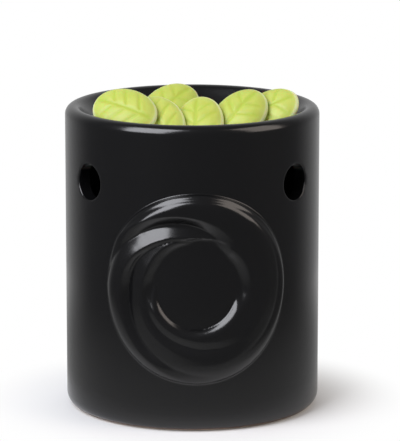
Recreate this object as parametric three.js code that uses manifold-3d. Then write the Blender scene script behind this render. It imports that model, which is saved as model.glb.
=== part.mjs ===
import * as THREE from 'three';
import { mergeVertices } from 'three/addons/utils/BufferGeometryUtils.js';
import Module from 'manifold-3d';

// An essential oil burner in black glazed ceramic. A tealight burns in the chamber of the pot,
// and the bowl cast into its top holds leaf-shaped wax melts.
// Millimetres, +Z up, origin on the pot's axis at its base. The relief faces -Y, the door +Y.

const wasm = await Module();
wasm.setup();

// Running gap between pieces that touch
const FIT = 0.3;

// Pot
const POT_R = 50;
const POT_H = 120;
const WALL = 5;
const FLOOR_T = 6.5;
const BASE_CORNER_R = 5;
const LIP_R = 3.4;
const BOWL_DEPTH = 22;
const BOWL_T = 4.5;
const CHAMBER_CORNER_R = 4;

// Vents, one on each side of the relief
const VENT_D = 15;
const VENT_DROP = 25.2;
const VENT_ANGLE = 53.2;

// Door for the tealight, an arch in the back wall
const DOOR_W = 50;
const DOOR_H = 55;

// Swirl relief on the front: a ring of crescents lapped over one another
const RELIEF_X = 1.8;
const RELIEF_Z = 56.5;
const RELIEF_OUT_R = 38.2;
const RELIEF_IN_R = 15;
const RELIEF_H = 3.8;
const RELIEF_SHOULDER_W = 5.5;
const RELIEF_BEVEL_W = 4;
const RELIEF_RIDGE_H = 2.9;
const RELIEF_TOP_EDGE_H = 1.5;
const RELIEF_ROOT = 1.5;

// Tealight
const CUP_D = 37.5;
const CUP_H = 16;
const CUP_WALL = 0.45;
const CUP_BEAD_R = 0.6;
const CUP_CORNER_R = 1;
const WAX_H = 12.5;
const WAX_CORNER = 1.2;
const WAX_RISE = 0.4;
const WAX_RISE_W = 1.5;
const WICK_D = 1.2;
const WICK_FREE = 6;
const PLATE_D = 12.8;
const PLATE_T = 0.4;
const NECK_WALL = 0.6;
const NECK_H = 4;

// Wax melts
const MELT_L = 27;
const MELT_W = 20.5;
const MELT_T = 6;
const MELT_LEAN = 45;

// Facets
const POT_SIDES = 48;
const CUP_SIDES = 32;
const FINE_SIDES = 12;
const VENT_SIDES = 24;
const RELIEF_RINGS = 13;
const RELIEF_SPOKES = 60;
const MELT_SIDES = 20;

// What follows from them
const wallInR = POT_R - WALL;
const lipR = POT_R - LIP_R;
const lipZ = POT_H - LIP_R;
const mouthR = lipR - LIP_R;
// The bowl is part of a sphere that the round lip runs into
const bowlR = ((BOWL_DEPTH - LIP_R) ** 2 + lipR ** 2 - LIP_R ** 2) / (2 * BOWL_DEPTH);
const bowlZ = POT_H - BOWL_DEPTH + bowlR;
const lipEnd = Math.atan2(bowlZ - lipZ, -lipR);
const ventZ = POT_H - VENT_DROP;
const cupR = CUP_D / 2;
const cupInR = cupR - CUP_WALL;
const cupFloorZ = FLOOR_T + FIT;
const waxR = cupInR - FIT;
const waxZ = cupFloorZ + CUP_WALL + FIT;
const wickR = WICK_D / 2;
const neckInR = wickR + FIT;
const neckR = neckInR + NECK_WALL;
const plateR = PLATE_D / 2;
const rad = THREE.MathUtils.degToRad;

// Points on a circle in the profile plane, angles in radians from the +r axis
function arc(r, z, radius, from, to, steps) {
  const points = [];
  for (let i = 0; i <= steps; i++) {
    const a = from + (to - from) * (i / steps);
    points.push([r + radius * Math.cos(a), z + radius * Math.sin(a)]);
  }
  return points;
}

// The bowl's own profile, or one outside it by a thickness, from a radius down to the axis
function bowlProfile(outwards, fromR, steps) {
  const r = bowlR + outwards;
  return arc(0, bowlZ, r, -Math.acos(fromR / r), -Math.PI / 2, steps);
}

// A turned solid about the Z axis from [radius, height] points
function turned(profile, sides) {
  const points = profile.map(([r, z]) => new THREE.Vector2(Math.max(r, 0), z));
  return new THREE.LatheGeometry(points, sides).rotateX(Math.PI / 2);
}

// Geometry to a closed solid: shared vertices merged, collapsed faces dropped
function solidOf(geometry) {
  const bare = geometry.clone();
  bare.deleteAttribute('normal');
  bare.deleteAttribute('uv');
  const merged = mergeVertices(bare, 1e-4);
  const index = Array.from(merged.index.array);
  const faces = [];
  for (let i = 0; i < index.length; i += 3) {
    const [a, b, c] = index.slice(i, i + 3);
    if (a !== b && b !== c && c !== a) faces.push(a, b, c);
  }
  return new wasm.Manifold(new wasm.Mesh({
    numProp: 3,
    vertProperties: new Float32Array(merged.attributes.position.array),
    triVerts: new Uint32Array(faces),
  }));
}

function geometryOf(solid) {
  const mesh = solid.getMesh();
  const geometry = new THREE.BufferGeometry();
  geometry.setAttribute('position', new THREE.BufferAttribute(new Float32Array(mesh.vertProperties), 3));
  geometry.setIndex(new THREE.BufferAttribute(new Uint32Array(mesh.triVerts), 1));
  geometry.computeVertexNormals();
  return geometry;
}

function finish(color, roughness, metalness) {
  return new THREE.MeshStandardMaterial({ color, roughness, metalness });
}

function piece(name, solid, material) {
  const mesh = new THREE.Mesh(geometryOf(solid), material);
  mesh.name = name;
  return mesh;
}

// Outside of the pot with the bowl sunk into its top
function potOutside() {
  const quarter = Math.PI / 2;
  return solidOf(turned([
    [0, 0],
    ...arc(POT_R - BASE_CORNER_R, BASE_CORNER_R, BASE_CORNER_R, -quarter, 0, 4),
    ...arc(lipR, lipZ, LIP_R, 0, quarter, 4),
    ...arc(lipR, lipZ, LIP_R, quarter, lipEnd, 3).slice(1),
    ...bowlProfile(0, lipR + LIP_R * Math.cos(lipEnd), 12).slice(1),
  ], POT_SIDES));
}

// Room for the flame: its ceiling runs parallel to the bowl
function chamber() {
  const corner = CHAMBER_CORNER_R;
  return solidOf(turned([
    [0, FLOOR_T],
    ...arc(wallInR - corner, FLOOR_T + corner, corner, -Math.PI / 2, 0, 3),
    ...bowlProfile(BOWL_T, wallInR, 7),
  ], POT_SIDES));
}

// The arched doorway, level with the chamber's floor
function doorway() {
  const half = DOOR_W / 2;
  const spring = FLOOR_T + DOOR_H - half;
  const shape = new THREE.Shape();
  shape.moveTo(-half, FLOOR_T);
  shape.lineTo(half, FLOOR_T);
  shape.lineTo(half, spring);
  shape.absarc(0, spring, half, 0, Math.PI, false);
  const cut = new THREE.ExtrudeGeometry(shape, { depth: POT_R, bevelEnabled: false, curveSegments: 16 });
  return solidOf(cut.rotateX(Math.PI / 2).translate(0, POT_R + WALL, 0));
}

function vent(side) {
  const turn = side * rad(VENT_ANGLE);
  const middle = POT_R - WALL / 2;
  const bore = new THREE.CylinderGeometry(VENT_D / 2, VENT_D / 2, 3 * WALL, VENT_SIDES);
  bore.rotateZ(turn);
  return solidOf(bore.translate(middle * Math.sin(turn), -middle * Math.cos(turn), ventZ));
}

// A crease between two crescents winds outwards from one angle to another, in degrees
// counterclockwise from the relief's right. It fades in and out over the ease at its ends.
const CREASES = [
  { from: 50, to: 178, fromR: 19.5, toR: 37.5, ease: 22, depth: 2.2, lapW: 4, openW: 8 },
  { from: 55, to: 285, fromR: 18.3, toR: 34, ease: 25, depth: 2, lapW: 3.5, openW: 6 },
  { from: 165, to: 310, fromR: 19, toR: 25.5, ease: 30, depth: 1, lapW: 2.5, openW: 3 },
];

function smooth(t) {
  const x = Math.min(Math.max(t, 0), 1);
  return x * x * (3 - 2 * x);
}

function creaseDepth(crease, rho, phi) {
  const along = (phi - crease.from + 360) % 360;
  const length = crease.to - crease.from;
  if (along > length) return 0;
  const line = crease.fromR + (crease.toR - crease.fromR) * (along / length);
  const off = rho - line;
  const side = off > 0 ? off / crease.lapW : -off / crease.openW;
  const fade = smooth(along / crease.ease) * smooth((length - along) / crease.ease);
  return crease.depth * fade * Math.max(0, 1 - side) ** 1.5;
}

// Rise from 0 to 1 that is steep at first and then rounds off
function rounded(t) {
  return 1 - (1 - Math.min(Math.max(t, 0), 1)) ** 2;
}

// Height of the relief above the wall at a radius and angle about its centre. The ring is
// highest at its outer shoulder, and its lower half ends in a ridge over an inner bevel.
function reliefHeight(rho, phi) {
  const lower = smooth((phi - 170) / 40) * smooth((360 - phi) / 30);
  const inner = RELIEF_TOP_EDGE_H + (RELIEF_RIDGE_H - RELIEF_TOP_EDGE_H) * lower;
  const ridgeR = RELIEF_IN_R + RELIEF_BEVEL_W;
  const shoulderR = RELIEF_OUT_R - RELIEF_SHOULDER_W;
  const level = inner + (RELIEF_H - inner) * smooth((rho - ridgeR) / (shoulderR - ridgeR));
  const band = level * rounded((rho - RELIEF_IN_R) / RELIEF_BEVEL_W)
    * rounded((RELIEF_OUT_R - rho) / RELIEF_SHOULDER_W);
  const cut = CREASES.reduce((sum, crease) => sum + creaseDepth(crease, rho, phi), 0);
  return Math.max(band - cut, 0.25 * band) - FIT;
}

// The relief as a closed ring wrapped on the wall, rooted inside it
function relief() {
  const points = [];
  for (let j = 0; j < RELIEF_SPOKES; j++) {
    const phi = 360 * (j / RELIEF_SPOKES);
    const radii = [];
    for (let i = 0; i < RELIEF_RINGS; i++) {
      const across = (1 - Math.cos(Math.PI * (i / (RELIEF_RINGS - 1)))) / 2;
      const rho = RELIEF_IN_R + (RELIEF_OUT_R - RELIEF_IN_R) * across;
      radii.push([rho, reliefHeight(rho, phi)]);
    }
    radii.push([RELIEF_OUT_R, -RELIEF_ROOT], [RELIEF_IN_R, -RELIEF_ROOT]);
    for (const [rho, height] of radii) {
      const azimuth = (RELIEF_X + rho * Math.cos(rad(phi))) / POT_R;
      const r = POT_R + height;
      points.push(r * Math.sin(azimuth), -r * Math.cos(azimuth), RELIEF_Z + rho * Math.sin(rad(phi)));
    }
  }
  const row = RELIEF_RINGS + 2;
  const faces = [];
  for (let j = 0; j < RELIEF_SPOKES; j++) {
    const next = (j + 1) % RELIEF_SPOKES;
    for (let i = 0; i < row; i++) {
      const k = (i + 1) % row;
      const [a, b, c, d] = [j * row + i, j * row + k, next * row + k, next * row + i];
      faces.push(a, b, c, a, c, d);
    }
  }
  const geometry = new THREE.BufferGeometry();
  geometry.setAttribute('position', new THREE.Float32BufferAttribute(points, 3));
  geometry.setIndex(faces);
  return solidOf(geometry);
}

function burnerBody() {
  let body = potOutside().add(relief());
  for (const cut of [chamber(), doorway(), vent(-1), vent(1)]) {
    body = body.subtract(cut);
  }
  return piece('burner_body', body, finish(0x1b1b1d, 0.28, 0));
}

// Pressed cup with a rolled edge
function tealightCup() {
  const corner = CUP_CORNER_R;
  const rimZ = cupFloorZ + CUP_H - CUP_BEAD_R;
  const beadR = cupInR + CUP_BEAD_R;
  return piece('tealight_cup', solidOf(turned([
    [0, cupFloorZ],
    ...arc(cupR - corner, cupFloorZ + corner, corner, -Math.PI / 2, 0, 2),
    ...arc(beadR, rimZ, CUP_BEAD_R, -Math.PI / 4, Math.PI, 6),
    [cupInR, cupFloorZ + corner],
    [cupR - corner, cupFloorZ + CUP_WALL],
    [0, cupFloorZ + CUP_WALL],
  ], CUP_SIDES)), finish(0xc9cacb, 0.3, 1));
}

// Wax poured round the wick, risen a little up the cup, with room under it for the sustainer
function tealightWax() {
  const edgeZ = waxZ + WAX_H;
  const topZ = edgeZ - WAX_RISE;
  const neckTopZ = waxZ + NECK_H + FIT;
  const plateTopZ = waxZ + PLATE_T + FIT;
  return piece('tealight_wax', solidOf(turned([
    [plateR + FIT, waxZ],
    [waxR - WAX_CORNER, waxZ],
    [waxR, waxZ + WAX_CORNER],
    [waxR, edgeZ],
    [waxR - WAX_RISE_W, topZ],
    [neckInR, topZ],
    [neckInR, neckTopZ],
    [neckR + FIT, neckTopZ],
    [neckR + FIT, plateTopZ],
    [plateR + FIT, plateTopZ],
    [plateR + FIT, waxZ],
  ], CUP_SIDES)), finish(0xf3f0e6, 0.45, 0));
}

// Steel plate with a neck that is crimped round the wick
function wickSustainer() {
  return piece('wick_sustainer', solidOf(turned([
    [neckInR, waxZ],
    [plateR, waxZ],
    [plateR, waxZ + PLATE_T],
    [neckR, waxZ + PLATE_T],
    [neckR, waxZ + NECK_H],
    [neckInR, waxZ + NECK_H],
    [neckInR, waxZ],
  ], FINE_SIDES * 2)), finish(0xb4b5b6, 0.35, 1));
}

function tealightWick() {
  const length = WAX_H + WICK_FREE;
  const wick = new THREE.CylinderGeometry(wickR, wickR, length, FINE_SIDES);
  wick.rotateX(Math.PI / 2).translate(0, 0, waxZ + length / 2);
  return piece('tealight_wick', solidOf(wick), finish(0xe9e5da, 0.9, 0));
}

// One melt, lying on its flat back with its stem towards -Y: a domed leaf with a round edge
function leaf() {
  const shape = turned([
    [0, 0],
    [0.9, 0],
    [0.98, 0.08],
    [1, 0.28],
    [0.93, 0.52],
    [0.75, 0.76],
    [0.4, 0.95],
    [0, 1],
  ], MELT_SIDES);
  shape.scale(MELT_W / 2, MELT_L / 2, MELT_T);
  return solidOf(shape);
}

// The slide that takes a melt out of the bowl leans back by the lean of the standing melts
const lift = new THREE.Vector3(0, Math.sin(rad(MELT_LEAN)), Math.cos(rad(MELT_LEAN)));
const forward = new THREE.Vector3(0, -lift.z, lift.y);

// Corners of a solid as vectors
function corners(solid) {
  const { vertProperties } = solid.getMesh();
  const found = [];
  for (let i = 0; i < vertProperties.length; i += 3) {
    found.push(new THREE.Vector3().fromArray(vertProperties, i));
  }
  return found;
}

// How far a set of corners reaches each way in the plane across the slide
const ACROSS = Array.from({ length: 120 }, (_, i) => {
  const a = 2 * Math.PI * (i / 120);
  return forward.clone().multiplyScalar(Math.sin(a)).setX(Math.cos(a));
});

function reach(points) {
  return ACROSS.map((axis) => {
    const along = points.map((p) => p.dot(axis));
    return { low: Math.min(...along), high: Math.max(...along) };
  });
}

// Gap between two reaches, one moved forward, seen along the slide: either can slide past
function gapAlongLift(one, by, other) {
  return Math.max(...ACROSS.map((axis, i) => other[i].low - one[i].high - by * axis.dot(forward)));
}

// Whether all corners clear the bowl, and the lip round it, by the running gap
function insideBowl(points) {
  const endZ = lipZ + LIP_R * Math.sin(lipEnd);
  return points.every((p) => {
    const r = Math.hypot(p.x, p.y);
    if (p.z > POT_H) return true;
    if (p.z < endZ) return Math.hypot(r, p.z - bowlZ) <= bowlR - FIT;
    return r < lipR && Math.hypot(r - lipR, p.z - lipZ) >= LIP_R + FIT;
  });
}

// First shift from a place onwards for which a test holds
function firstShift(from, holds) {
  const stride = 0.5;
  let good = from;
  while (!holds(good)) good += stride;
  let bad = good - stride;
  while (good - bad > 0.005) {
    const middle = (good + bad) / 2;
    if (holds(middle)) good = middle;
    else bad = middle;
  }
  return good;
}

function shifted(points, direction, by) {
  return points.map((p) => p.clone().addScaledVector(direction, by));
}

// A melt that lies in the bowl on its flat side, at an angle round from the back
function lyingMelt({ angle, out, roll }) {
  const radius = out * mouthR;
  const [x, y] = [radius * Math.sin(rad(angle)), radius * Math.cos(rad(angle))];
  const place = new THREE.Vector3(x, y, bowlZ - Math.sqrt(bowlR ** 2 - radius ** 2));
  const up = new THREE.Vector3(0, 0, bowlZ).sub(place).normalize();
  const turn = new THREE.Quaternion().setFromUnitVectors(new THREE.Vector3(0, 0, 1), up);
  const spin = new THREE.Quaternion().setFromAxisAngle(new THREE.Vector3(0, 0, 1), rad(roll));
  const matrix = new THREE.Matrix4().compose(place, turn.multiply(spin), new THREE.Vector3(1, 1, 1));
  const raw = leaf().transform(matrix.toArray());
  const seat = firstShift(0, (by) => insideBowl(shifted(corners(raw), up, by)));
  return raw.translate(up.clone().multiplyScalar(seat).toArray());
}

// A melt that stands on its edge and leans back on those behind it, if any is nearer than the
// place where it would stand alone. It stands in the bowl, or higher by a rise where it is held
// between its neighbours.
function leaningMelt({ right, yaw, roll, stand, rise }, behind) {
  const tilt = new THREE.Matrix4().makeRotationX(rad(90 - MELT_LEAN));
  const round = new THREE.Matrix4().makeRotationAxis(lift, rad(yaw));
  const spin = new THREE.Matrix4().makeRotationZ(rad(roll));
  const turn = round.multiply(tilt).multiply(spin).setPosition(right * mouthR, 0, POT_H);
  const raw = leaf().transform(turn.toArray());
  const points = corners(raw);
  const own = reach(points);
  const others = behind.map((other) => reach(corners(other)));
  const back = firstShift(stand * mouthR, (by) => others.every((other) => gapAlongLift(own, by, other) >= FIT));
  const stood = shifted(points, forward, back);
  const drop = firstShift(-POT_R, (by) => insideBowl(shifted(stood, lift, by)));
  const place = forward.clone().multiplyScalar(back).addScaledVector(lift, drop + rise * MELT_L);
  return raw.translate(place.toArray());
}

// The melts in the order in which they are laid. One with an angle lies there, out from the
// axis; the others stand right of centre and face the front, turned by yaw and roll. Out, right
// and stand are parts of the bowl's mouth radius, and rise is a part of a melt's length.
const MELTS = [
  { name: 'wax_melt_tall', right: -0.213, yaw: 0, roll: -45, stand: -0.585, rise: 0 },
  { name: 'wax_melt_floor', angle: 180, out: 0.116, roll: 90 },
  { name: 'wax_melt_back_left', angle: -80, out: 0.62, roll: 75 },
  { name: 'wax_melt_back_right', angle: 60, out: 0.62, roll: -65 },
  { name: 'wax_melt_right', right: 0.7, yaw: -24, roll: -72, stand: -0.05, rise: 0 },
  { name: 'wax_melt_right_centre', right: 0.428, yaw: -12, roll: -40, stand: -0.35, rise: 0.16 },
  { name: 'wax_melt_centre', right: 0.069, yaw: -18, roll: 0, stand: -0.35, rise: 0.04 },
  { name: 'wax_melt_left_centre', right: -0.301, yaw: -14, roll: 30, stand: -0.35, rise: 0.05 },
  { name: 'wax_melt_left', right: -0.598, yaw: -10, roll: 62, stand: -0.35, rise: 0 },
];

function waxMelts() {
  const placed = [];
  return MELTS.map((melt) => {
    placed.push('angle' in melt ? lyingMelt(melt) : leaningMelt(melt, placed));
    return piece(melt.name, placed.at(-1), finish(0xc8d36c, 0.4, 0));
  });
}

const burner = new THREE.Group();
burner.add(burnerBody());
burner.add(tealightCup(), tealightWax(), wickSustainer(), tealightWick());
burner.add(...waxMelts());

export default burner;
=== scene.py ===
import math

import bpy
import numpy as np
from mathutils import Matrix, Vector


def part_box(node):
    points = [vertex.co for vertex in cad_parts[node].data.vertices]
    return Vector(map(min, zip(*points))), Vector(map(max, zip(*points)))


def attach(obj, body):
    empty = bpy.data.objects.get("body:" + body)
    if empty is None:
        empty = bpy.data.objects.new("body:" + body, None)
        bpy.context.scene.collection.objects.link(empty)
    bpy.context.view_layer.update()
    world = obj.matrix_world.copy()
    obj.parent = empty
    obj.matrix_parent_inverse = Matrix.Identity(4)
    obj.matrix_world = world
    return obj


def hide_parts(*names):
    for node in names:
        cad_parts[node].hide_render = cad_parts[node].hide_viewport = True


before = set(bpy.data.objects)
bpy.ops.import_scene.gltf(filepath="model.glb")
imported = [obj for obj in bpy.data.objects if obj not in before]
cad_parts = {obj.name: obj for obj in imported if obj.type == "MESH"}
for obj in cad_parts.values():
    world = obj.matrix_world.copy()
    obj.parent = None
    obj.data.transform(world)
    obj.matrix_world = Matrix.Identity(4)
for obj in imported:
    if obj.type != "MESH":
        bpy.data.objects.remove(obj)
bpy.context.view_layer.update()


# Pot. Slip-cast clay in one piece: walls, floor, rolled lip and bowl, fired with a black glaze.
# The glaze pools evenly, so every edge is eased, and it stops just short of the foot, where it
# breaks to a thin brown line over the bare clay.
MM = 0.001
pot_r, pot_h, pot_wall, pot_floor = 50.0, 120.0, 5.0, 6.5
base_corner, lip_round, chamber_corner = 5.0, 3.4, 4.0
lip_r, lip_z = pot_r - lip_round, pot_h - lip_round
bowl_depth, bowl_t = 22.0, 4.5
bowl_r = ((bowl_depth - lip_round) ** 2 + lip_r ** 2 - lip_round ** 2) / (2 * bowl_depth)
bowl_z = pot_h - bowl_depth + bowl_r
relief_x, relief_z, relief_in, relief_out = 1.8, 56.5, 15.0, 38.2
relief_sunk, relief_fillet = 0.32, 0.3
vent_r, vent_z, vent_turn, vent_ease = 7.1, 94.8, math.radians(53.2), 0.55
door_half, door_h, door_corner, door_ease = 25.0, 55.0, 1.5, 1.0


def arc(r, z, radius, start, end, steps):
    """Points of a profile, as (distance from the axis, height)"""
    angles = np.linspace(start, end, steps + 1)
    return [(r + radius * math.cos(a), z + radius * math.sin(a)) for a in angles]


def smooth(t):
    t = np.clip(t, 0, 1)
    return t * t * (3 - 2 * t)


# Each crease between two lapped crescents: angles round the relief, its radius and its depth at
# each, how far the upper crescent rolls down to it at its two ends, and how far it opens inwards
creases = [
    ([48, 64, 72, 87, 104, 120, 134, 144, 154, 165, 180],
     [19.0, 20.6, 21.8, 24.0, 26.4, 28.6, 30.4, 32.0, 33.9, 35.5, 38.0],
     [0, 1.2, 2.1, 2.8, 3.2, 3.2, 3.0, 2.5, 1.9, 1.0, 0], (4.0, 4.0), 7.5),
    ([50, 64, 80, 96, 108, 125, 140, 154, 166, 186, 213, 232, 249, 264, 285],
     [21.0, 20.6, 19.8, 19.6, 20.4, 22.1, 23.8, 25.5, 26.4, 26.9, 28.3, 29.8, 31.2, 32.6, 34.6],
     [0, 0.6, 0.9, 1.0, 1.1, 1.3, 1.7, 2.2, 2.6, 2.7, 2.1, 1.7, 1.2, 0.6, 0], (0.7, 3.7), 6.4),
    ([165, 186, 199, 214, 230, 243, 259, 273, 286, 294, 315],
     [19.2, 19.5, 20.0, 20.7, 21.3, 21.6, 22.1, 23.0, 23.7, 24.5, 26.0],
     [0, 0.6, 0.9, 1.1, 1.2, 1.2, 1.1, 0.9, 0.6, 0.4, 0], (2.5, 2.5), 3.0),
    ([295, 315, 335, 355, 375, 395, 412], [30.6, 31.0, 31.6, 32.2, 33.0, 34.0, 35.0],
     [0, 0.4, 0.8, 0.9, 0.8, 0.5, 0], (2.5, 2.5), 5.0),
]


def rounded(t):
    """From 0 to 1 over a soft foot, a steep side and a round shoulder"""
    return (1 - (1 - np.clip(t, 0, 1)) ** 2) * smooth(t / 0.22)


def relief_height(u, v):
    """How far the relief stands out of the wall, u across and v up from its centre"""
    rho = np.hypot(u, v)
    phi = np.degrees(np.arctan2(v, u)) % 360
    lower = smooth((phi - 170) / 40) * smooth((360 - phi) / 30)
    inner = 0.5 + 2.4 * lower
    level = inner + (3.0 - inner) * smooth((rho - 17) / 4) + 0.78 * smooth((rho - 20) / 12)
    shoulder = 7.3 - 2.0 * np.sin(np.radians(phi))
    band = level * rounded((rho - relief_in) / 4.0) * rounded((relief_out - rho) / shoulder)
    groove = 0.3 * np.exp(-((rho - relief_out + 2.6) / 0.8) ** 2)
    cut = groove * smooth(np.sin(np.radians(phi)))
    for angles, radii, depths, laps, open_w in creases:
        turn = np.where(phi < angles[0], phi + 360, phi)
        off = rho - np.interp(turn, angles, radii)
        depth = np.interp(turn, angles, depths, left=0, right=0)
        lap = np.interp(turn, (angles[0], angles[-1]), laps)
        outside = np.clip(1 - off / lap, 0, 1) ** 1.1
        inside = np.clip(1 + off / open_w, 0, 1) ** 1.15
        cut += depth * np.where(off > 0, outside, inside)
    height = np.maximum(band - cut, 0.2 * band) - relief_sunk
    into_wall = np.clip((height + relief_fillet) / (2 * relief_fillet), 0, 1)
    return np.where(height > relief_fillet, height, relief_fillet * into_wall ** 2)


def lathe(profile, azimuths):
    """Rings of points about Z, closed at both ends on the axis, as vertices and faces"""
    count = len(azimuths)
    verts = [(0, 0, profile[0][1])]
    for r, z in profile[1:-1]:
        verts += [(r * math.sin(a), -r * math.cos(a), z) for a in azimuths]
    verts.append((0, 0, profile[-1][1]))
    faces = []
    rings = len(profile) - 2
    for j in range(count):
        k = (j + 1) % count
        faces.append((0, 1 + k, 1 + j))
        for i in range(rings - 1):
            a, b = 1 + i * count, 1 + (i + 1) * count
            faces.append((a + j, a + k, b + k, b + j))
        last = 1 + (rings - 1) * count
        faces.append((last + j, last + k, len(verts) - 1))
    return np.array(verts, float), faces


def mesh_piece(name, verts, faces, angle=35):
    """A smooth-shaded object from points in millimetres, sharp above an angle in degrees"""
    mesh = bpy.data.meshes.new(name)
    mesh.from_pydata([tuple(v) for v in np.asarray(verts) * MM], [], faces)
    mesh.validate()
    mesh.shade_smooth()
    mesh.set_sharp_from_angle(angle=math.radians(angle))
    piece = bpy.data.objects.new(name, mesh)
    bpy.context.scene.collection.objects.link(piece)
    return piece


def loop_cutter(name, outline, turn, rings):
    """A plug for an opening: its outline at each depth under the wall, eased by a set-out.
    Its two ends are flat."""
    verts, faces = [], []
    for i, (depth, ease) in enumerate(rings):
        for x, z in outline(ease):
            flat = i in (0, len(rings) - 1)
            y = depth - pot_r if flat else -math.sqrt((pot_r - depth) ** 2 - x * x)
            verts.append((x * math.cos(turn) - y * math.sin(turn),
                          x * math.sin(turn) + y * math.cos(turn), z))
    count = len(outline(0))
    for i in range(len(rings) - 1):
        for j in range(count):
            k = (j + 1) % count
            a, b = i * count, (i + 1) * count
            faces.append((a + j, b + j, b + k, a + k))
    faces.append(tuple(range(count)))
    last = (len(rings) - 1) * count
    faces.append(tuple(last + j for j in range(count))[::-1])
    return mesh_piece(name, verts, faces)


def eased_rings(ease, through):
    """(depth, set-out) of a plug's rings: outside the wall, round the mouth, through the wall"""
    steps = np.linspace(0, math.pi / 2, 5)
    mouth = [(ease * (1 - math.cos(a)), ease * (1 - math.sin(a))) for a in steps]
    return [(-4.0, ease)] + mouth + [(through, 0)]


def vent_outline(ease):
    ring = np.linspace(0, 2 * math.pi, 73)[:-1]
    return [((vent_r + ease) * math.cos(a), vent_z + (vent_r + ease) * math.sin(a)) for a in ring]


def door_outline(ease):
    half, corner = door_half, door_corner
    sill = pot_floor + 0.02  # not in the floor's own plane, which the cut can't resolve
    spring = pot_floor + door_h - half
    points = arc(half - corner, sill + corner, corner + ease, -math.pi / 2, 0, 6)
    points += [(half + ease, z) for z in np.linspace(sill + 4, spring - 1, 9)]
    points += arc(0, spring, half + ease, 0, math.pi, 40)
    points += [(-half - ease, z) for z in np.linspace(spring - 1, sill + 4, 9)]
    points += arc(corner - half, sill + corner, corner + ease, math.pi, 1.5 * math.pi, 6)
    return points


# Fine columns and rows round the relief, the finest rows at its top edge, which lies along them
azimuths = np.concatenate([np.arange(-0.83, 0.83, 0.0074),
                           np.linspace(0.84, 2 * math.pi - 0.84, 100)])
rows = np.concatenate([np.arange(17, 81.8, 0.44), np.arange(82, 95.9, 0.19)])
outer = [(0, 0)] + arc(pot_r - base_corner, base_corner, base_corner, -math.pi / 2, 0, 10)
outer += [(pot_r, z) for z in np.arange(7, 16, 2)]
outer += [(pot_r, z) for z in rows]
outer += [(pot_r, z) for z in np.arange(97.5, 116, 2.2)]
outer += arc(lip_r, lip_z, lip_round, 0, math.atan2(bowl_z - lip_z, -lip_r), 16)
outer += arc(0, bowl_z, bowl_r, math.atan2(lip_z - bowl_z, lip_r), -math.pi / 2, 28)[1:]
pot_verts, pot_faces = lathe(outer, azimuths)
turn_angle = np.arctan2(pot_verts[:, 0], -pot_verts[:, 1])
on_wall = np.abs(np.hypot(pot_verts[:, 0], pot_verts[:, 1]) - pot_r) < 0.01
rise = relief_height(turn_angle * pot_r - relief_x, pot_verts[:, 2] - relief_z) * on_wall
pot_verts[:, 0] += rise * np.sin(turn_angle)
pot_verts[:, 1] -= rise * np.cos(turn_angle)

inner_wall = pot_r - pot_wall
inner = [(0, pot_floor)]
inner += arc(inner_wall - chamber_corner, pot_floor + chamber_corner, chamber_corner,
             -math.pi / 2, 0, 6)
inner += [(inner_wall, z) for z in np.arange(15, 112, 5)]
inner += arc(0, bowl_z, bowl_r + bowl_t, -math.acos(inner_wall / (bowl_r + bowl_t)),
             -math.pi / 2, 16)
# Turned by a little, so that no column of the inside meets the crown of the door's arch
inner_azimuths = np.linspace(0.02, 0.02 + 2 * math.pi, 129)[:-1]
room_verts, room_faces = lathe(inner, inner_azimuths)
shift = len(pot_verts)
pot_faces += [tuple(i + shift for i in face[::-1]) for face in room_faces]
pot = mesh_piece("pot", np.vstack([pot_verts, room_verts]), pot_faces)

vent_rings, door_rings = eased_rings(vent_ease, 12), eased_rings(door_ease, 14)
plugs = [
    loop_cutter("vent_plug_left", vent_outline, -vent_turn, vent_rings),
    loop_cutter("vent_plug_right", vent_outline, vent_turn, vent_rings),
    loop_cutter("door_plug", door_outline, math.pi, door_rings),
]
for plug in plugs:
    cut = pot.modifiers.new(plug.name, "BOOLEAN")
    cut.operation, cut.solver, cut.object = "DIFFERENCE", "EXACT", plug
bpy.context.view_layer.update()
cut_mesh = bpy.data.meshes.new_from_object(
    pot.evaluated_get(bpy.context.evaluated_depsgraph_get()))
pot.modifiers.clear()
pot.data = cut_mesh
cut_mesh.shade_smooth()
cut_mesh.set_sharp_from_angle(angle=math.radians(40))
for plug in plugs:
    bpy.data.objects.remove(plug)


def linear(code):
    """sRGB hex to the linear colour that a socket takes"""
    channels = [int(code[i:i + 2], 16) / 255 for i in (1, 3, 5)]
    return tuple(c / 12.92 if c <= 0.04045 else ((c + 0.055) / 1.055) ** 2.4
                 for c in channels) + (1.0,)


def node(tree, kind, settings=None, links=None, **values):
    """Adds a node: its settings, the values on its sockets, and links into them"""
    added = tree.nodes.new(kind)
    for key, value in (settings or {}).items():
        setattr(added, key, value)
    for key, value in values.items():
        added.inputs[key.replace("_", " ")].default_value = value
    for key, source in (links or {}).items():
        tree.links.new(source, added.inputs[key])
    return added


def new_material(name):
    material = bpy.data.materials.new(name)
    material.use_nodes = True
    material.node_tree.nodes.clear()
    return material, material.node_tree


def ramp(tree, source, stops):
    """A colour ramp from (place, hex) stops"""
    added = node(tree, "ShaderNodeValToRGB", links={"Fac": source})
    elements = added.color_ramp.elements
    while len(elements) < len(stops):
        elements.new(0.5)
    for element, (place, code) in zip(elements, stops):
        element.position, element.color = place, linear(code)
    return added.outputs["Color"]


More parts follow.
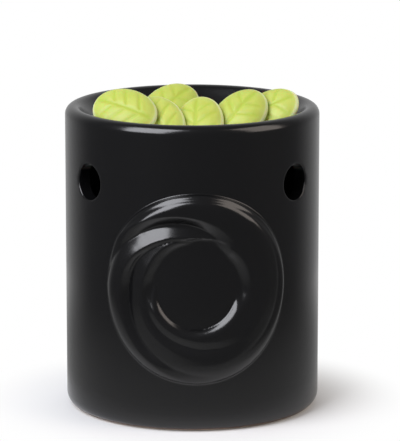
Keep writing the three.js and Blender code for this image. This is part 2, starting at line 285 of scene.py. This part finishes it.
# Black satin glaze over fired clay: deep black with a soft sheen, and a faint orange peel where
# the glaze flowed. At the foot it thins to brown, and the clay under it is bare and matt.
glaze, tree = new_material("black_satin_glaze_fired")
place = node(tree, "ShaderNodeTexCoord").outputs["Object"]
height = node(tree, "ShaderNodeSeparateXYZ", links={"Vector": place}).outputs["Z"]
wobble = node(tree, "ShaderNodeTexNoise", links={"Vector": place}, Scale=90.0, Detail=2.0)
edge = node(tree, "ShaderNodeMath", {"operation": "MULTIPLY_ADD"},
            {0: wobble.outputs["Fac"], 2: height})
edge.inputs[1].default_value = -0.0006
foot = node(tree, "ShaderNodeMapRange", links={"Value": edge.outputs[0]}, From_Min=0.0,
            From_Max=0.003)
foot_colour = ramp(tree, foot.outputs["Result"],
                   [(0.0, "#b9aa97"), (0.10, "#b9aa97"), (0.2, "#4a2a20"), (0.34, "#2a1612"),
                    (0.5, "#0b0b0c")])
foot_rough = node(tree, "ShaderNodeMapRange", links={"Value": foot.outputs["Result"]},
                  From_Min=0.12, From_Max=0.4, To_Min=0.8, To_Max=0.19)
peel = node(tree, "ShaderNodeTexNoise", links={"Vector": place}, Scale=420.0, Detail=2.0)
peel_bump = node(tree, "ShaderNodeBump", links={"Height": peel.outputs["Fac"]}, Strength=0.05,
                 Distance=0.0004)
shader = node(tree, "ShaderNodeBsdfPrincipled",
              links={"Base Color": foot_colour, "Roughness": foot_rough.outputs["Result"],
                     "Normal": peel_bump.outputs["Normal"]}, IOR=1.55)
node(tree, "ShaderNodeOutputMaterial", links={"Surface": shader.outputs["BSDF"]})
pot.data.materials.clear()
pot.data.materials.append(glaze)
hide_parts("burner_body")
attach(pot, "burner")


# Tealight cup. Thin aluminium sheet, deep-drawn to a cup and pleated by the drawing, with the
# edge rolled outwards. It stands loose on the chamber's floor.
cup_low, cup_high = [np.array(corner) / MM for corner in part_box("tealight_cup")]
cup_z, cup_top = cup_low[2], cup_high[2]
cup_out, cup_sheet, bead = 18.7, 0.4, 0.55


def pleated(profile, depths, azimuths, pleats):
    """A lathe with upright folds in its wall, their depth given at each height"""
    verts, faces = lathe(profile, azimuths)
    angle = np.arctan2(verts[:, 0], -verts[:, 1])
    radius = np.hypot(verts[:, 0], verts[:, 1])
    fold = np.interp(verts[:, 2], *zip(*depths)) * (radius > 12)
    scale = 1 - fold * (0.5 + 0.5 * np.cos(pleats * angle)) / np.maximum(radius, 1)
    verts[:, :2] *= scale[:, None]
    return verts, faces


cup_wall = np.linspace(cup_z + 2, cup_top - 2 * bead - 0.4, 6)
cup_profile = [(0, cup_z)] + arc(cup_out - 1, cup_z + 1, 1, -math.pi / 2, 0, 4)
cup_profile += [(cup_out, z) for z in cup_wall]
cup_profile += arc(cup_out - cup_sheet + bead, cup_top - bead, bead, -0.8, math.pi, 9)
cup_profile += [(cup_out - cup_sheet, z) for z in cup_wall[::-1]]
cup_profile += arc(cup_out - 1, cup_z + 1, 1 - cup_sheet, 0, -math.pi / 2, 4)
cup_profile.append((0, cup_z + cup_sheet))
folds = [(cup_z + 1.2, 0), (cup_z + 3, 0.12), (cup_top - 3, 0.12), (cup_top - 1.5, 0)]
cup_pleats = 72
cup_azimuths = np.linspace(0, 2 * math.pi, 4 * cup_pleats + 1)[:-1]
cup = mesh_piece("tealight_cup_sheet", *pleated(cup_profile, folds, cup_azimuths, cup_pleats))

# Drawn aluminium: bright, with fine marks of the die that run up the wall
aluminium, tree = new_material("deep_drawn_aluminium")
place = node(tree, "ShaderNodeTexCoord").outputs["Object"]
stretch = node(tree, "ShaderNodeMapping", links={"Vector": place})
stretch.inputs["Scale"].default_value = (1, 1, 0.06)
marks = node(tree, "ShaderNodeTexNoise", links={"Vector": stretch.outputs["Vector"]},
             Scale=2500.0, Detail=3.0)
marks_rough = node(tree, "ShaderNodeMapRange", links={"Value": marks.outputs["Fac"]},
                   To_Min=0.2, To_Max=0.38)
marks_bump = node(tree, "ShaderNodeBump", links={"Height": marks.outputs["Fac"]}, Strength=0.1,
                  Distance=0.0002)
shader = node(tree, "ShaderNodeBsdfPrincipled",
              links={"Roughness": marks_rough.outputs["Result"],
                     "Normal": marks_bump.outputs["Normal"]},
              Base_Color=linear("#c9cbcd"), Metallic=1.0)
node(tree, "ShaderNodeOutputMaterial", links={"Surface": shader.outputs["BSDF"]})
cup.data.materials.append(aluminium)
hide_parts("tealight_cup")
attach(cup, "tealight")


# Candle. Paraffin poured hot round the wick: it sets white and a little translucent, creeps up
# the cup's wall, and sinks slightly round the wick as it cools.
wax_low, wax_high = [np.array(corner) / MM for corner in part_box("tealight_wax")]
wax_z, wax_edge = wax_low[2], wax_high[2]
wax_r, wax_level = wax_high[0], wax_edge - 0.4
creep_r, sunk_r, wick_hole, neck_hole = 13, 7.0, 0.95, 1.85
wax_profile = [(sunk_r, wax_z), (wax_r - 1.2, wax_z), (wax_r - 0.03, wax_z + 1.2),
               (wax_r - 0.03, wax_edge - 0.02)]
wax_profile += [(r, wax_level + 0.38 * ((r - creep_r) / (wax_r - creep_r)) ** 3)
                for r in np.linspace(wax_r - 0.25, creep_r, 6)]
wax_profile += [(r, wax_level - 0.25 * math.cos((r - 1) / 6 * math.pi / 2))
                for r in np.linspace(sunk_r, 1.0, 6)]
wax_profile += [(wick_hole, wax_z + 4.35), (neck_hole, wax_z + 4.3), (neck_hole, wax_z + 0.75),
                (sunk_r, wax_z + 0.7)]


def ring_lathe(profile, azimuths):
    """A closed ring of profile points turned about Z"""
    count, rings = len(azimuths), len(profile)
    verts = [(r * math.sin(a), -r * math.cos(a), z) for r, z in profile for a in azimuths]
    faces = []
    for i in range(rings):
        for j in range(count):
            a, b, k = i * count, (i + 1) % rings * count, (j + 1) % count
            faces.append((a + j, a + k, b + k, b + j))
    return verts, faces


round_96 = np.linspace(0, 2 * math.pi, 97)[:-1]
candle = mesh_piece("candle_wax", *ring_lathe(wax_profile, round_96))

# Poured paraffin: white, soft-edged light inside, a faint skin of ripples
paraffin, tree = new_material("poured_paraffin_wax")
place = node(tree, "ShaderNodeTexCoord").outputs["Object"]
cloud = node(tree, "ShaderNodeTexNoise", links={"Vector": place}, Scale=160.0, Detail=3.0)
cloud_colour = ramp(tree, cloud.outputs["Fac"], [(0.3, "#ece7da"), (0.7, "#f7f4ea")])
skin = node(tree, "ShaderNodeBump", links={"Height": cloud.outputs["Fac"]}, Strength=0.15,
            Distance=0.0005)
shader = node(tree, "ShaderNodeBsdfPrincipled",
              links={"Base Color": cloud_colour, "Normal": skin.outputs["Normal"]},
              Roughness=0.42, IOR=1.44, Subsurface_Weight=0.35, Subsurface_Scale=0.003)
node(tree, "ShaderNodeOutputMaterial", links={"Surface": shader.outputs["BSDF"]})
candle.data.materials.append(paraffin)
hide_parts("tealight_wax")
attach(candle, "candle")


# Wick sustainer. Tinned steel sheet stamped to a plate with a neck, which is crimped round the
# wick to hold it upright in the melted wax.
foot_low, foot_high = [np.array(corner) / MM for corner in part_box("wick_sustainer")]
plate_z, plate_r = foot_low[2], foot_high[0]
plate_profile = [(0.92, plate_z), (plate_r - 0.15, plate_z), (plate_r - 0.01, plate_z + 0.1),
                 (plate_r - 0.01, plate_z + 0.3), (plate_r - 0.15, plate_z + 0.38),
                 (2.2, plate_z + 0.38), (1.6, plate_z + 0.6), (1.48, plate_z + 1.2),
                 (1.42, plate_z + 3.8), (1.3, plate_z + 3.97), (1.0, plate_z + 3.97),
                 (0.92, plate_z + 3.8)]
sustainer = mesh_piece("sustainer_plate", *ring_lathe(plate_profile, round_96[::2]), angle=50)

# Tinned steel: bright, with rolling marks across the sheet
tinplate, tree = new_material("stamped_tinned_steel")
place = node(tree, "ShaderNodeTexCoord").outputs["Object"]
stretch = node(tree, "ShaderNodeMapping", links={"Vector": place})
stretch.inputs["Scale"].default_value = (0.05, 1, 1)
marks = node(tree, "ShaderNodeTexNoise", links={"Vector": stretch.outputs["Vector"]},
             Scale=3000.0, Detail=2.0)
marks_rough = node(tree, "ShaderNodeMapRange", links={"Value": marks.outputs["Fac"]},
                   To_Min=0.25, To_Max=0.45)
shader = node(tree, "ShaderNodeBsdfPrincipled",
              links={"Roughness": marks_rough.outputs["Result"]},
              Base_Color=linear("#b4b5b6"), Metallic=1.0)
node(tree, "ShaderNodeOutputMaterial", links={"Surface": shader.outputs["BSDF"]})
sustainer.data.materials.append(tinplate)
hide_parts("wick_sustainer")
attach(sustainer, "candle")


# Wick. Cotton braided round a paper core and dipped in wax. Its free end is cut square, and the
# strands show as a spiral.
wick_low, wick_high = [np.array(corner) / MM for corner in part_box("tealight_wick")]
wick_verts, wick_faces = [], []
wick_rows, wick_sides = 60, 24
wick_r, strand_d, strands, lay = 0.5, 0.06, 3, 26
for i in range(wick_rows + 1):
    t = i / wick_rows
    z = wick_low[2] + (wick_high[2] - wick_low[2]) * t
    for j in range(wick_sides):
        a = 2 * math.pi * j / wick_sides
        strand = strand_d * abs(math.sin(strands / 2 * a + lay * t))
        r = wick_r + strand - strand_d * smooth((t - 0.97) / 0.03)
        wick_verts.append((r * math.cos(a), r * math.sin(a), z))
for i in range(wick_rows):
    for j in range(wick_sides):
        k = (j + 1) % wick_sides
        a, b = i * wick_sides, (i + 1) * wick_sides
        wick_faces.append((a + j, a + k, b + k, b + j))
wick_faces.append(tuple(range(wick_sides))[::-1])
wick_faces.append(tuple(wick_rows * wick_sides + j for j in range(wick_sides)))
wick = mesh_piece("wick_braid", wick_verts, wick_faces, angle=60)

# Waxed cotton: off-white and matt, with fibres finer than the strands
cotton, tree = new_material("braided_cotton_waxed")
place = node(tree, "ShaderNodeTexCoord").outputs["Object"]
fibre = node(tree, "ShaderNodeTexNoise", links={"Vector": place}, Scale=6000.0, Detail=3.0)
fibre_colour = ramp(tree, fibre.outputs["Fac"], [(0.3, "#d6d0bf"), (0.7, "#f1ede1")])
fibre_bump = node(tree, "ShaderNodeBump", links={"Height": fibre.outputs["Fac"]}, Strength=0.4,
                  Distance=0.0001)
shader = node(tree, "ShaderNodeBsdfPrincipled",
              links={"Base Color": fibre_colour, "Normal": fibre_bump.outputs["Normal"]},
              Roughness=0.85, Sheen_Weight=0.3)
node(tree, "ShaderNodeOutputMaterial", links={"Surface": shader.outputs["BSDF"]})
wick.data.materials.append(cotton)
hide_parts("tealight_wick")
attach(wick, "candle")


# Wax melts. Scented wax cast in leaf moulds: a flat back where the mould was open, a domed
# face with the grooves of a midrib and side veins, and a round edge that stands proud.
melt_half_w, melt_half_l, melt_t = 10.25, 13.5, 6.0
# The domed face from the middle to the edge: (share of the way, share of the thickness)
melt_side = [(0.0, 1.0), (0.2, 0.985), (0.4, 0.945), (0.6, 0.865), (0.75, 0.755), (0.86, 0.63),
             (0.93, 0.51), (0.975, 0.39), (0.995, 0.29)]


def melt_mesh(name, seed):
    """A leaf in its own axes: X across, Y from stem to tip, Z out of its flat back"""
    spokes, rings = 120, 34
    rng = np.random.default_rng(seed)
    angles = np.linspace(0, 2 * math.pi, spokes + 1)[:-1]
    steps = np.linspace(0, 1, rings + 1)[1:] ** 0.9 * 0.995
    s = np.concatenate([[0.0], np.repeat(steps, spokes)])
    a = np.concatenate([[0.0], np.tile(angles, rings)])
    x, y = s * np.cos(a) * melt_half_w, s * np.sin(a) * melt_half_l
    z = melt_t * np.interp(s, *zip(*melt_side))
    rib = np.exp(-(x / 1.0) ** 2) * smooth((0.93 - np.abs(y) / melt_half_l) / 0.15)
    vein = np.zeros_like(x)
    for start in (-7.5, -1.8, 3.8):
        line = start + rng.uniform(-0.3, 0.3) + 0.62 * np.abs(x)
        vein = np.maximum(vein, np.exp(-((y - line) / 0.9) ** 2))
    vein *= smooth((0.88 - s) / 0.12) * smooth(np.abs(x) / 1.2)
    groove = np.maximum(rib, 0.75 * vein)
    # The band along the face's edge that takes the painted highlight
    edge = smooth((s - 0.91) / 0.07)
    z = z - 0.38 * groove - 0.12 * np.exp(-((s - 0.88) / 0.035) ** 2)
    verts = list(zip(x, y, z))
    painted_edge_light = list(edge)
    grooves = list(groove)
    # Below the edge and across the flat back, in the same shares
    under = [(1.0, 0.24), (0.985, 0.12), (0.96, 0.05), (0.92, 0.01), (0.6, 0.01), (0.3, 0.01)]
    for k, h in under:
        verts += [(k * math.cos(b) * melt_half_w, k * math.sin(b) * melt_half_l, h * melt_t)
                  for b in angles]
        # The painted edge highlight runs on down the outer side
        painted_edge_light += [0.8 if k > 0.9 else 0.0] * spokes
        grooves += [0.0] * spokes
    verts.append((0, 0, 0.01 * melt_t))
    painted_edge_light.append(0.0)
    grooves.append(0.0)
    faces = [(0, 1 + j, 1 + (j + 1) % spokes) for j in range(spokes)]
    rows = rings + len(under)
    for i in range(rows - 1):
        low, high = 1 + i * spokes, 1 + (i + 1) * spokes
        for j in range(spokes):
            k = (j + 1) % spokes
            faces.append((low + j, high + j, high + k, low + k))
    last = 1 + (rows - 1) * spokes
    faces += [(last + (j + 1) % spokes, last + j, len(verts) - 1) for j in range(spokes)]
    melt = mesh_piece(name, verts, faces, angle=60)
    # Masks of the painted edge highlight and of the grooves, which take painted shade, kept on
    # the points for the colour
    for label, values in (("painted_edge_light", painted_edge_light), ("groove", grooves)):
        layer = melt.data.attributes.new(label, "FLOAT", "POINT")
        layer.data.foreach_set("value", np.array(values, np.float32))
    return melt


def melt_place(cad):
    """Where a leaf lies, from its solid: its flat back's centre, its long axis with the tip
    upwards, and the way its face looks"""
    points = np.array([tuple(v.co) for v in cad.data.vertices])
    normals = np.array([tuple(f.normal) for f in cad.data.polygons])
    areas = np.array([f.area for f in cad.data.polygons])
    centres = np.array([tuple(f.center) for f in cad.data.polygons])
    alike = normals @ normals.T > 0.9995
    back = alike[np.argmax(alike @ areas)]
    out = -np.average(normals[back], axis=0, weights=areas[back])
    out /= np.linalg.norm(out)
    middle = np.average(centres[back], axis=0, weights=areas[back])
    flat = points - middle
    flat -= np.outer(flat @ out, out)
    along = np.linalg.eigh(flat.T @ flat)[1][:, 2]
    return middle, along if along[2] > 0 else -along, out


# Cast wax: yellow-green, with a painted highlight in a paler colour along its thin edge, painted
# shade in a darker colour down in the veins, the slight sheen of a mould and a few cloudy patches
melt_wax, tree = new_material("cast_green_scented_wax")
place = node(tree, "ShaderNodeTexCoord").outputs["Object"]
cloud = node(tree, "ShaderNodeTexNoise", links={"Vector": place}, Scale=130.0, Detail=3.0)
cloudy = ramp(tree, cloud.outputs["Fac"], [(0.3, "#afbb50"), (0.7, "#bbc662")])
groove_in = node(tree, "ShaderNodeAttribute", {"attribute_name": "groove"}).outputs["Fac"]
painted_edge_light_in = node(tree, "ShaderNodeAttribute", {"attribute_name": "painted_edge_light"}).outputs["Fac"]
# A darker colour painted into the midrib and vein grooves as shade
vein_shaded = node(tree, "ShaderNodeMix", {"data_type": "RGBA"})
tree.links.new(groove_in, vein_shaded.inputs["Factor"])
tree.links.new(cloudy, vein_shaded.inputs[6])
vein_shaded.inputs[7].default_value = linear("#a8b844")
# A paler colour painted along the edge as a highlight
edge_highlighted = node(tree, "ShaderNodeMix", {"data_type": "RGBA"})
tree.links.new(painted_edge_light_in, edge_highlighted.inputs["Factor"])
tree.links.new(vein_shaded.outputs[2], edge_highlighted.inputs[6])
edge_highlighted.inputs[7].default_value = linear("#e0e8ae")
grain = node(tree, "ShaderNodeTexNoise", links={"Vector": place}, Scale=900.0, Detail=2.0)
grain_bump = node(tree, "ShaderNodeBump", links={"Height": grain.outputs["Fac"]}, Strength=0.12,
                  Distance=0.0003)
shader = node(tree, "ShaderNodeBsdfPrincipled",
              links={"Base Color": edge_highlighted.outputs[2], "Normal": grain_bump.outputs["Normal"]},
              Roughness=0.45, IOR=1.44, Subsurface_Weight=0.25, Subsurface_Scale=0.002)
node(tree, "ShaderNodeOutputMaterial", links={"Surface": shader.outputs["BSDF"]})

melt_words = ("tall", "floor", "back_left", "back_right", "right", "right_centre", "left_centre",
              "centre", "left")
for number, word in enumerate(melt_words):
    middle, along, out = melt_place(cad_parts["wax_melt_" + word])
    across = np.cross(along, out)
    turned = np.eye(4)
    turned[:3] = np.stack([across, along, out, middle], 1)
    melt = melt_mesh("leaf_" + word, number)
    melt.data.transform(Matrix(turned.tolist()))
    melt.data.materials.append(melt_wax)
    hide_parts("wax_melt_" + word)
    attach(melt, "melt_" + word)


# Studio table. A round white sheet: the lamps light it only softly, so away from the pot it is
# shown to the camera, and to glossy surfaces, as white.
table_rings = [20, 45, 60, 80, 110, 150, 200, 260]
sides = len(round_96)
table_verts = [(0, 0, 0)]
for r in table_rings:
    table_verts += [(r * math.sin(a), -r * math.cos(a), 0) for a in round_96]
table_faces = [(1 + j, 1 + (j + 1) % sides, 0) for j in range(sides)]
for i in range(len(table_rings) - 1):
    low, high = 1 + sides * i, 1 + sides * (i + 1)
    for j in range(sides):
        k = (j + 1) % sides
        table_faces.append((low + j, high + j, high + k, low + k))
table = mesh_piece("studio_table", table_verts, table_faces)

# Matt paper: diffuse under the pot, so that it takes the shadow, and glowing white further out.
# In the glaze its glow falls off away from the pot, except behind it.
paper, tree = new_material("matt_white_paper")
place = node(tree, "ShaderNodeTexCoord").outputs["Object"]
away = node(tree, "ShaderNodeVectorMath", {"operation": "LENGTH"}, {0: place})
fade = node(tree, "ShaderNodeMapRange", {"interpolation_type": "SMOOTHSTEP"},
            {"Value": away.outputs["Value"]}, From_Min=0.042, From_Max=0.09)
rays = node(tree, "ShaderNodeLightPath")
shown = node(tree, "ShaderNodeMath", {"operation": "MAXIMUM"},
             {0: rays.outputs["Is Camera Ray"], 1: rays.outputs["Is Glossy Ray"]})
shown = node(tree, "ShaderNodeMath", {"operation": "MAXIMUM"},
             {0: shown.outputs[0], 1: rays.outputs["Is Transmission Ray"]})
how_white = node(tree, "ShaderNodeMath", {"operation": "MULTIPLY"},
                 {0: fade.outputs["Result"], 1: shown.outputs[0]})
matt = node(tree, "ShaderNodeBsdfDiffuse", Color=linear("#eaeaea"))
across = node(tree, "ShaderNodeSeparateXYZ", links={"Vector": place})
far = node(tree, "ShaderNodeMapRange", {"interpolation_type": "SMOOTHSTEP"},
           {"Value": across.outputs["Y"]}, From_Min=0.0, From_Max=0.22, To_Min=0.13, To_Max=0.65)
falling = node(tree, "ShaderNodeMapRange", {"interpolation_type": "SMOOTHSTEP"},
               {"Value": away.outputs["Value"], "To Max": far.outputs["Result"]},
               From_Min=0.06, From_Max=0.26, To_Min=0.42)
bright = node(tree, "ShaderNodeMix", {"data_type": "FLOAT"},
              {"Factor": rays.outputs["Is Glossy Ray"]}, A=1.0)
tree.links.new(falling.outputs["Result"], bright.inputs["B"])
glow = node(tree, "ShaderNodeEmission", links={"Strength": bright.outputs[0]},
            Color=(1, 1, 1, 1))
both = node(tree, "ShaderNodeMixShader")
tree.links.new(how_white.outputs[0], both.inputs[0])
tree.links.new(matt.outputs["BSDF"], both.inputs[1])
tree.links.new(glow.outputs["Emission"], both.inputs[2])
node(tree, "ShaderNodeOutputMaterial", links={"Surface": both.outputs["Shader"]})
table.data.materials.append(paper)


# Lamps. A large softbox high at the left front, a warmer one out to the right, with a dark gap
# between them over the camera, and a weak fill behind that the glaze doesn't mirror.
def softbox(name, place, aim, size, power, colour):
    light = bpy.data.lights.new(name, "AREA")
    light.shape, light.size, light.size_y = "RECTANGLE", size[0], size[1]
    light.energy, light.color = power, linear(colour)[:3]
    lamp = bpy.data.objects.new(name, light)
    bpy.context.scene.collection.objects.link(lamp)
    lamp.location = place
    lamp.rotation_euler = (Vector(aim) - Vector(place)).to_track_quat("-Z", "Y").to_euler()
    return lamp


softbox("softbox_left", (-0.54, -0.56, 0.66), (0, 0, 0.06), (0.66, 0.95), 14.2, "#f8f9ff")
softbox("softbox_right", (0.86, -0.32, 0.6), (0, 0, 0.06), (0.65, 1.0), 5.0, "#fff2e8")
fill = softbox("fill_behind", (0.1, 0.85, 0.75), (0, 0, 0.08), (1.0, 0.7), 3.2, "#ffffff")
fill.visible_glossy = False


# Room. Dim grey all round, with a white backdrop behind the pot for what mirrors or lets light
# through. The camera sees plain white.
world = bpy.data.worlds.new("room")
bpy.context.scene.world = world
world.use_nodes = True
tree = world.node_tree
tree.nodes.clear()
rays = node(tree, "ShaderNodeLightPath")
direction = node(tree, "ShaderNodeTexCoord").outputs["Generated"]
parts = node(tree, "ShaderNodeSeparateXYZ", links={"Vector": direction})
behind = node(tree, "ShaderNodeMapRange", {"interpolation_type": "SMOOTHSTEP"},
              {"Value": parts.outputs["Y"]}, From_Min=0.2, From_Max=1.0, To_Max=0.5)
shiny = node(tree, "ShaderNodeMath", {"operation": "MAXIMUM"},
             {0: rays.outputs["Is Glossy Ray"], 1: rays.outputs["Is Transmission Ray"]})
backdrop = node(tree, "ShaderNodeMath", {"operation": "MULTIPLY"},
                {0: shiny.outputs[0], 1: behind.outputs["Result"]})
how_white = node(tree, "ShaderNodeMath", {"operation": "MAXIMUM"},
                 {0: rays.outputs["Is Camera Ray"], 1: backdrop.outputs[0]})
room = node(tree, "ShaderNodeBackground", Color=linear("#8a8a8c"), Strength=0.6)
white = node(tree, "ShaderNodeBackground", Color=(1, 1, 1, 1), Strength=1.0)
both = node(tree, "ShaderNodeMixShader")
tree.links.new(how_white.outputs[0], both.inputs[0])
tree.links.new(room.outputs["Background"], both.inputs[1])
tree.links.new(white.outputs["Background"], both.inputs[2])
node(tree, "ShaderNodeOutputWorld", links={"Surface": both.outputs["Shader"]})

bpy.context.scene.view_settings.view_transform = "Standard"


# Camera. Long lens, looking a little down on the front. Its place and its focal length in pixels
# were fitted to the pot's outline in the photo.
focal_pixels, picture_height = 3307, 441
tilt, distance = math.radians(11.947), 1.309
aim_x, aim_z = 0.00304, 0.07329
camera_data = bpy.data.cameras.new("camera")
camera_data.sensor_fit = "VERTICAL"
camera_data.sensor_height = 36.0
camera_data.lens = camera_data.sensor_height * focal_pixels / picture_height
camera_data.clip_start, camera_data.clip_end = 0.05, 20.0
camera = bpy.data.objects.new("camera", camera_data)
bpy.context.scene.collection.objects.link(camera)
stand = Vector((aim_x, -distance * math.cos(tilt), aim_z + distance * math.sin(tilt)))
camera.matrix_world = Matrix.Translation(stand) @ Matrix.Rotation(math.pi / 2 - tilt, 4, "X")
bpy.context.scene.camera = camera
